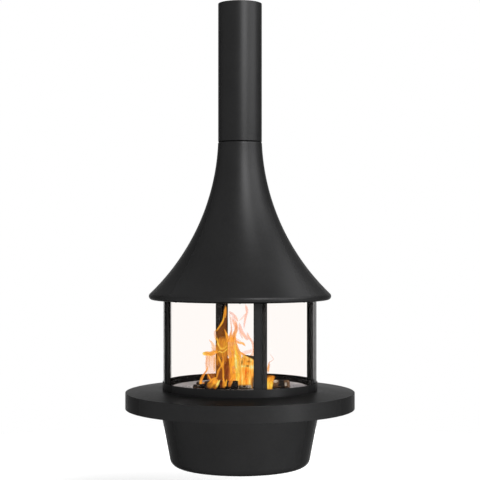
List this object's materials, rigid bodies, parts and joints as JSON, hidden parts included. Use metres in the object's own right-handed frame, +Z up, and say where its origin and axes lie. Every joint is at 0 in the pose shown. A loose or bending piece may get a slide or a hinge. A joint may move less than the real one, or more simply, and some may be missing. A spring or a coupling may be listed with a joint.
{
  "type": "hanging fireplace",
  "caption": "Central fireplace hung from its flue pipe: flared hood, round glazed firebox with sliding curved panes, wide ledge and a tapered bowl.",
  "frame": {"origin": "centre of the ceiling flange's top face, at the top of the flue pipe", "axes": "+Z up along the flue pipe, the front faces -Y, +X to the right as seen from the front"},
  "size_m": [1.308, 1.308, 2.6363],
  "materials": {
    "black_paint": "satin black paint with a fine texture",
    "flue_steel": "stainless sheet with soot",
    "raw_steel": "dark mill finish",
    "glass": "clear heat-proof glass ceramic with a faint warm tint",
    "seal_rope": "black glass-fibre rope",
    "refractory": "cast refractory, matt",
    "wool": "mineral wool",
    "hearth_iron": "grey plate dusted with ash",
    "grate_iron": "burnt cast iron",
    "ash": "loose wood ash",
    "charred_wood": "charred, cracked, with glowing edges",
    "split_wood": "split log with charred spots",
    "bark": "pale bark turning to ash"
  },
  "bodies": {
    "root": {"ceiling_flange": "black_paint", "flue_pipe": "black_paint", "flue_liner": "flue_steel", "flue_insulation": "wool", "neck_sleeve": "black_paint", "neck_screws": "black_paint", "hood_shell": "black_paint", "hood_ribs": "raw_steel", "hood_soffit": "black_paint", "soffit_screws": "black_paint", "smoke_cone": "flue_steel", "baffle_blades": "raw_steel", "smoke_baffle": "raw_steel", "damper_bushes": "raw_steel", "crown_ring": "black_paint", "post_right": "black_paint", "post_back": "black_paint", "post_left": "black_paint", "post_front": "black_paint", "post_bolts": "raw_steel", "fixed_pane_back": "glass", "fixed_pane_front": "glass", "pane_seals": "seal_rope", "collar_ring": "black_paint", "slide_track": "raw_steel", "track_stops": "raw_steel", "ledge_shell": "black_paint", "ledge_gussets": "raw_steel", "ledge_underplate": "black_paint", "underplate_screws": "black_paint", "hearth_frame": "raw_steel", "frame_bolts": "raw_steel", "bowl_shell": "black_paint", "refractory_bed": "refractory", "hearth_plate": "hearth_iron", "ash_well": "raw_steel", "air_register": "black_paint", "shutter_pivot": "raw_steel"},
    "front_pane": {"sliding_pane_front": "glass", "pane_rail_front": "black_paint", "roller_pins_front": "raw_steel"},
    "front_roller_1": {"roller_front_1": "raw_steel"},
    "front_roller_2": {"roller_front_2": "raw_steel"},
    "back_pane": {"sliding_pane_back": "glass", "pane_rail_back": "black_paint", "roller_pins_back": "raw_steel"},
    "back_roller_1": {"roller_back_1": "raw_steel"},
    "back_roller_2": {"roller_back_2": "raw_steel"},
    "damper": {"damper_plate": "flue_steel", "damper_spindle": "raw_steel", "damper_lever": "black_paint"},
    "fire_load": {"fire_grate": "grate_iron", "ash_bed": "ash", "log_charred": "charred_wood", "log_left": "split_wood", "log_upright": "bark", "log_right": "split_wood", "log_back": "charred_wood"},
    "ash_pan": {"ash_pan": "raw_steel"},
    "air_shutter": {"air_shutter": "black_paint"}
  },
  "joints": [
    {"name": "front_pane_turn", "type": "hinge", "parent": "root", "child": "front_pane", "pos_m": [0, 0, -2.1563], "axis": [0, 0, 1], "range_deg": [0, 88]},
    {"name": "back_pane_turn", "type": "hinge", "parent": "root", "child": "back_pane", "pos_m": [0, 0, -2.1563], "axis": [0, 0, 1], "range_deg": [0, 88]},
    {"name": "front_roller_1_spin", "type": "hinge", "parent": "front_pane", "child": "front_roller_1", "pos_m": [-0.3703, -0.18061, -2.18748], "axis": [-0.8988, -0.4384, 0], "continuous": true},
    {"name": "front_roller_2_spin", "type": "hinge", "parent": "front_pane", "child": "front_roller_2", "pos_m": [0.02874, -0.411, -2.18748], "axis": [0.0698, -0.9976, 0], "continuous": true},
    {"name": "back_roller_1_spin", "type": "hinge", "parent": "back_pane", "child": "back_roller_1", "pos_m": [0.3703, 0.18061, -2.18748], "axis": [0.8988, 0.4384, 0], "continuous": true},
    {"name": "back_roller_2_spin", "type": "hinge", "parent": "back_pane", "child": "back_roller_2", "pos_m": [-0.02874, 0.411, -2.18748], "axis": [-0.0698, 0.9976, 0], "continuous": true},
    {"name": "damper_turn", "type": "hinge", "parent": "root", "child": "damper", "pos_m": [0, 0, -0.95], "axis": [0, 1, 0], "range_deg": [0, 90]},
    {"name": "grate_lift", "type": "slide", "parent": "root", "child": "fire_load", "axis": [0, 0, 1], "range_m": [0, 0.2]},
    {"name": "pan_lift", "type": "slide", "parent": "root", "child": "ash_pan", "axis": [0, 0, 1], "range_m": [0, 0.12]},
    {"name": "shutter_turn", "type": "hinge", "parent": "root", "child": "air_shutter", "pos_m": [0, 0, -2.62], "axis": [0, 0, 1], "range_deg": [0, 30]}
  ],
  "couplings": [
    {"joint": "front_roller_1_spin", "follows": "front_pane_turn", "ratio": -54.933},
    {"joint": "front_roller_2_spin", "follows": "front_pane_turn", "ratio": -54.933},
    {"joint": "back_roller_1_spin", "follows": "back_pane_turn", "ratio": -54.933},
    {"joint": "back_roller_2_spin", "follows": "back_pane_turn", "ratio": -54.933},
    {"joint": "pan_lift", "follows": "grate_lift", "ratio": 0.6}
  ]
}
